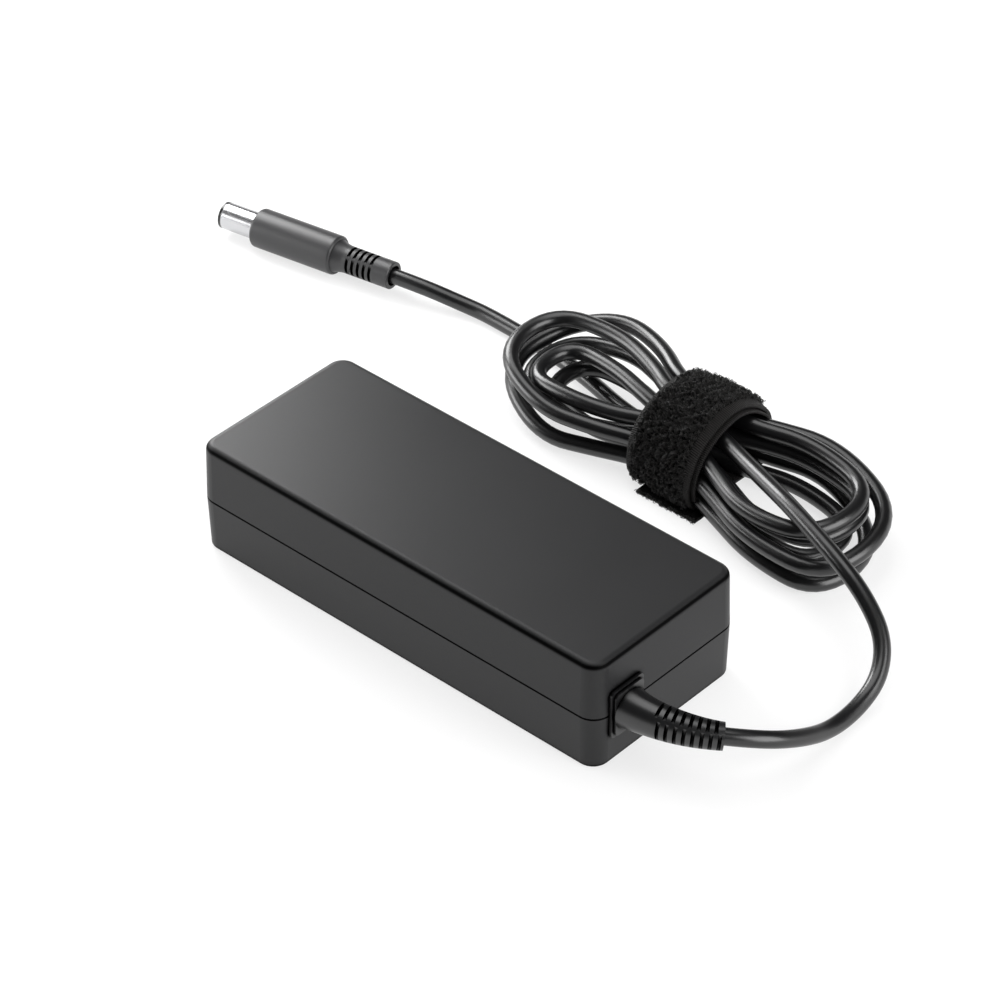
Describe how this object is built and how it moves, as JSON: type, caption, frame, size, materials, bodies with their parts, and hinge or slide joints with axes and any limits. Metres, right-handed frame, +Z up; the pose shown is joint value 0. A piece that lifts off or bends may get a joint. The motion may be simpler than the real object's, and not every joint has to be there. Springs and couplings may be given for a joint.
{
  "type": "laptop power adapter",
  "caption": "Rectangular two-shell laptop power adapter with a mains inlet at one end and a strapped, coiled low-voltage cord ending in a barrel plug.",
  "frame": {"origin": "centre of the housing's underside, on the surface that it rests on", "axes": "+X along the housing's length towards the end that the cord leaves, +Y across its width towards the coiled cord, +Z up"},
  "size_m": [0.2527, 0.1232, 0.0302],
  "materials": {
    "housing_plastic": "fine spark-eroded moulded texture, charcoal",
    "board_laminate": "green solder resist",
    "polyester_film": "thin milky film",
    "aluminium_sheet": "mill finish",
    "socket_plastic": "moulded, smooth satin",
    "plated_brass": "tin plated",
    "ferrite": "ground, matt",
    "yellow_tape": "polyester tape",
    "copper": "enamelled copper wire",
    "boot_vinyl": "moulded, satin",
    "cord_vinyl": "smooth extruded, semi-gloss",
    "strap_loop_fabric": "brushed loop pile with woven edges",
    "grip_vinyl": "moulded, satin",
    "nickel_plate": "polished nickel plating",
    "insulator_plastic": "moulded",
    "moulding_compound": "epoxy",
    "blue_lacquer": "dipped coating",
    "yellow_case": "moulded box",
    "black_sleeve": "shrunk sleeve on an aluminium can",
    "steel": "zinc plated"
  },
  "bodies": {
    "root": {"top_cover": "housing_plastic", "bottom_case": "housing_plastic", "circuit_board": "board_laminate", "insulation_sheet": "polyester_film", "heat_shield": "aluminium_sheet", "ac_inlet": "socket_plastic", "inlet_live_pin": "plated_brass", "inlet_neutral_pin": "plated_brass", "inlet_earth_pin": "plated_brass", "transformer_core": "ferrite", "transformer_bobbin": "socket_plastic", "transformer_winding": "yellow_tape", "dc_leads": "copper", "strain_relief": "boot_vinyl", "cord_adapter_side": "cord_vinyl", "cord_hank": "cord_vinyl", "cord_plug_side": "cord_vinyl", "cable_strap": "strap_loop_fabric", "plug_grip": "grip_vinyl", "plug_barrel": "nickel_plate", "plug_insulator": "insulator_plastic", "plug_inner_contact": "nickel_plate", "plug_centre_pin": "nickel_plate", "fuse": "moulding_compound", "varistor": "blue_lacquer", "x_capacitor": "yellow_case", "choke_core": "ferrite", "choke_windings": "copper", "pfc_core": "ferrite", "pfc_winding": "copper", "bulk_capacitor": "black_sleeve", "bridge_rectifier": "moulding_compound", "primary_heat_sink": "aluminium_sheet", "switching_transistor": "moulding_compound", "y_capacitor": "blue_lacquer", "optocoupler": "moulding_compound", "output_choke_core": "ferrite", "output_choke_winding": "copper", "secondary_heat_sink": "aluminium_sheet", "output_rectifier": "moulding_compound", "output_capacitors": "black_sleeve", "heat_sink_screws": "steel", "controller_chip": "moulding_compound"}
  },
  "joints": []
}
